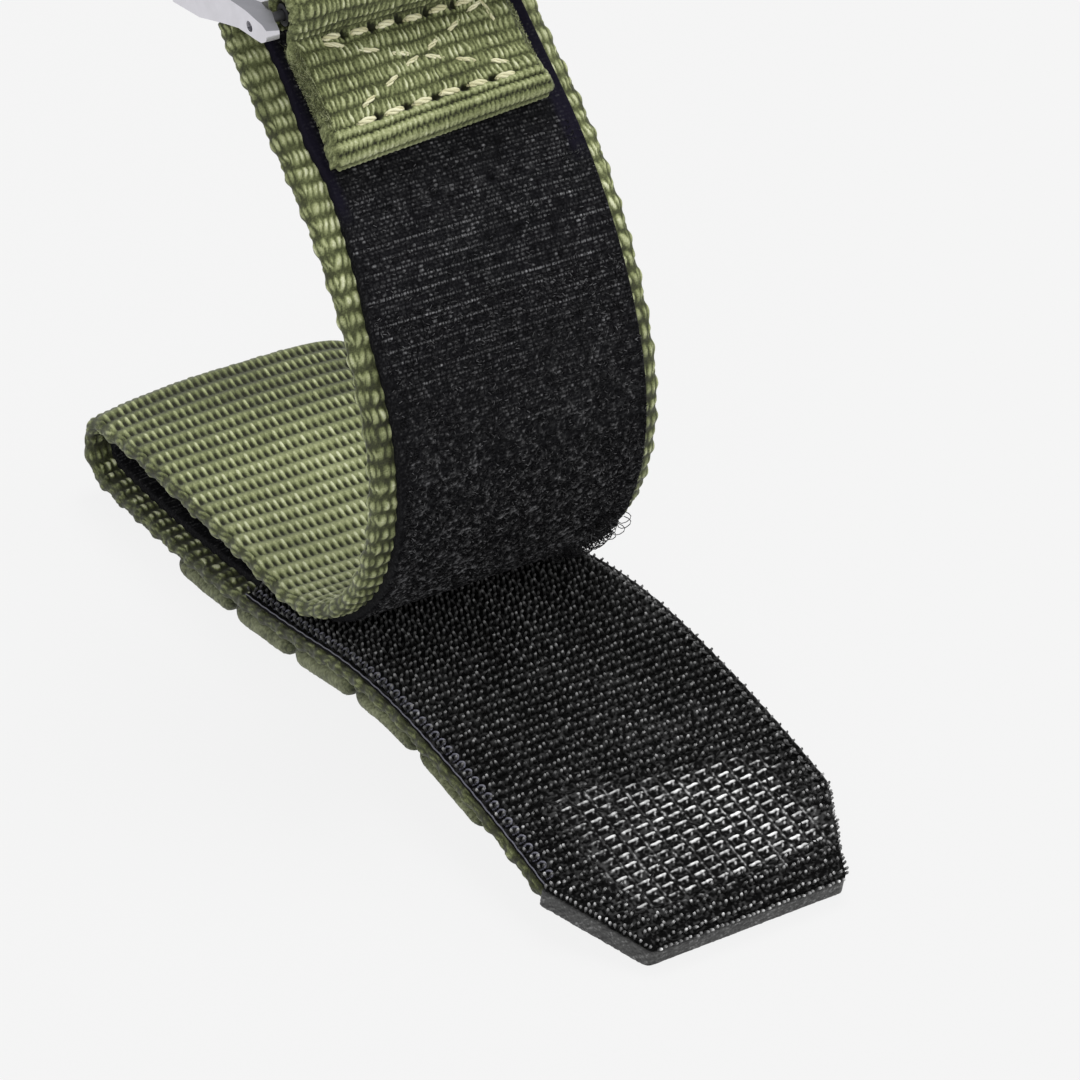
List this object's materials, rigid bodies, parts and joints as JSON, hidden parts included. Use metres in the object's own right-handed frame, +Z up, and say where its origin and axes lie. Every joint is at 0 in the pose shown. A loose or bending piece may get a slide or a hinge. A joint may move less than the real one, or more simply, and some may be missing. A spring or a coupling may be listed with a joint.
{
  "type": "hook-and-loop watch strap",
  "caption": "Ribbed woven nylon watch strap with a hook-and-loop closure, a folded leg, a sewn tab on a spring bar and a swivelling metal lug adapter.",
  "frame": {"origin": "centre of the footprint, on the surface that the folded strap stands on", "axes": "+Z up, +Y from the hook tip towards the fold, +X across the strap, to the right seen from the hook tip"},
  "size_m": [0.026, 0.087, 0.0617],
  "materials": {
    "webbing": "ribbed woven nylon, olive green",
    "tip_seal": "fused nylon end, finely ribbed, dark grey",
    "hook_tape": "woven hook tape, black",
    "loop_lining": "woven loop lining, near black",
    "grip": "brushed fuzzy nylon, olive green",
    "black_thread": "black sewing thread",
    "pale_thread": "pale green sewing thread",
    "spring_bar": "turned steel",
    "bar_spring": "spring wire",
    "lug_adapter": "satin finished steel"
  },
  "bodies": {
    "hook_leg": {"webbing_hook_leg": "webbing", "tip_seal": "tip_seal", "hook_tape": "hook_tape", "hook_seam": "black_thread", "loop_lining_hook_leg": "loop_lining", "grip_rib_1": "grip", "grip_rib_2": "grip", "grip_rib_3": "grip", "grip_rib_4": "grip", "grip_rib_5": "grip"},
    "middle_leg": {"webbing_middle_leg": "webbing", "loop_lining_middle_leg": "loop_lining"},
    "anchor_leg": {"webbing_anchor_leg": "webbing", "loop_lining_anchor_leg": "loop_lining", "anchor_tab": "webbing", "tab_seam": "pale_thread", "spring_bar_tube": "spring_bar", "bar_spring": "bar_spring"},
    "pin_left": {"spring_bar_pin_left": "spring_bar"},
    "pin_right": {"spring_bar_pin_right": "spring_bar"},
    "adapter": {"lug_adapter": "lug_adapter"}
  },
  "joints": [
    {"name": "fold_hinge", "type": "hinge", "parent": "hook_leg", "child": "middle_leg", "pos_m": [0, 0.04351, 0.00483], "axis": [-1, 0, 0], "range_deg": [0, 170]},
    {"name": "bend_hinge", "type": "hinge", "parent": "middle_leg", "child": "anchor_leg", "pos_m": [0, -0.00601, 0.01542], "axis": [-1, 0, 0], "range_deg": [-40, 45], "stiffness_Nm_per_rad": 0.05},
    {"name": "adapter_swivel", "type": "hinge", "parent": "anchor_leg", "child": "adapter", "pos_m": [0, 0.0065, 0.05928], "axis": [1, 0, 0], "range_deg": [0, 100]},
    {"name": "pin_left_slide", "type": "slide", "parent": "anchor_leg", "child": "pin_left", "axis": [1, 0, 0], "range_m": [0, 0.0014], "stiffness_N_per_m": 600, "springref_m": -0.001, "deforming": ["bar_spring"]},
    {"name": "pin_right_slide", "type": "slide", "parent": "anchor_leg", "child": "pin_right", "axis": [-1, 0, 0], "range_m": [0, 0.0014], "stiffness_N_per_m": 600, "springref_m": -0.001}
  ]
}
